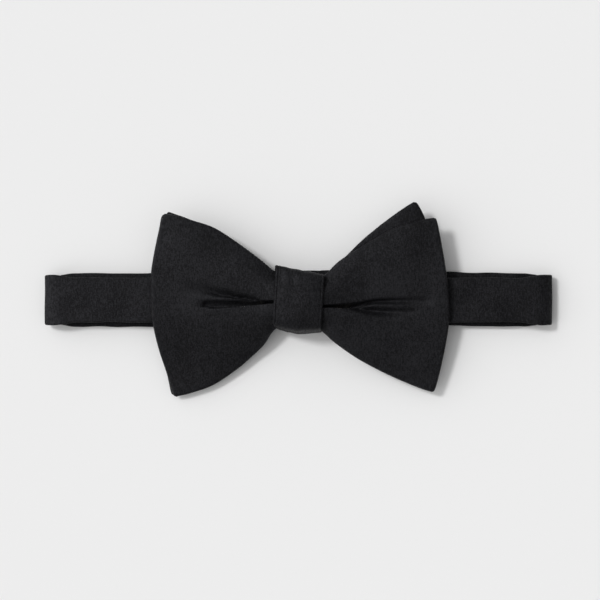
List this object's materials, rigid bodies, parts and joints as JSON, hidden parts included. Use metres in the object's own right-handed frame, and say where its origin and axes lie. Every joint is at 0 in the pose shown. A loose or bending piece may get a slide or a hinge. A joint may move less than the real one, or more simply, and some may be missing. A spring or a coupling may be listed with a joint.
{
  "type": "bow tie",
  "caption": "Pre-tied butterfly bow tie in black satin on an adjustable neckband with hook, eye and slider, folded flat.",
  "frame": {"origin": "centre of the flat band and bow on the surface that the bow tie lies on", "axes": "+X along the band to the wearer's left wing, +Y to the top of the knot, +Z out of the front of the bow"},
  "size_m": [0.204, 0.078, 0.0164],
  "materials": {
    "satin": "black satin weave",
    "interlining": "plain woven canvas",
    "thread": "polyester sewing thread",
    "label": "blank woven tape",
    "nickel": "nickel plate, softly polished"
  },
  "bodies": {
    "band": {"neckband_front": "satin", "neckband_interlining": "interlining", "fold_left": "satin", "fold_right": "satin"},
    "bow": {"front_bow_face": "satin", "front_bow_interlining": "interlining", "front_bow_lining": "satin", "back_bow_face": "satin", "back_bow_interlining": "interlining", "back_bow_lining": "satin", "waist_thread": "thread", "knot_wrap": "satin", "knot_interlining": "interlining", "knot_stitches": "thread"},
    "left_strap": {"strap_left": "satin", "strap_left_interlining": "interlining", "eye_bartack": "thread", "size_label": "label"},
    "eye_ring": {"eye": "nickel"},
    "right_strap": {"strap_right": "satin", "free_run": "satin"},
    "hook_carriage": {"hook_turn": "satin", "return_run": "satin"},
    "hook_plate": {"hook": "nickel"},
    "slide_adjuster": {"slider": "nickel", "slider_loop": "satin", "slider_bartack": "thread"}
  },
  "joints": [
    {"name": "bow_slide", "type": "slide", "parent": "band", "child": "bow", "axis": [1, 0, 0], "range_m": [-0.03, 0.03]},
    {"name": "left_fold", "type": "hinge", "parent": "band", "child": "left_strap", "pos_m": [-0.09855, 0, 0.00345], "axis": [0, 1, 0], "range_deg": [0, 180], "deforming": ["fold_left"]},
    {"name": "right_fold", "type": "hinge", "parent": "band", "child": "right_strap", "pos_m": [0.09855, 0, 0.00345], "axis": [0, -1, 0], "range_deg": [0, 180], "deforming": ["fold_right"]},
    {"name": "eye_swing", "type": "hinge", "parent": "left_strap", "child": "eye_ring", "pos_m": [-0.046, 0, 0.0015], "axis": [0, 1, 0], "range_deg": [-10, 90]},
    {"name": "neck_size", "type": "slide", "parent": "right_strap", "child": "hook_carriage", "axis": [1, 0, 0], "range_m": [0, 0.025], "deforming": ["free_run", "return_run"]},
    {"name": "slider_travel", "type": "slide", "parent": "hook_carriage", "child": "slide_adjuster", "axis": [1, 0, 0], "range_m": [0, 0.025]},
    {"name": "hook_swing", "type": "hinge", "parent": "hook_carriage", "child": "hook_plate", "pos_m": [-0.022, 0, 0.0015], "axis": [0, -1, 0], "range_deg": [-4, 90]}
  ],
  "couplings": [
    {"joint": "slider_travel", "follows": "neck_size", "ratio": 1}
  ]
}
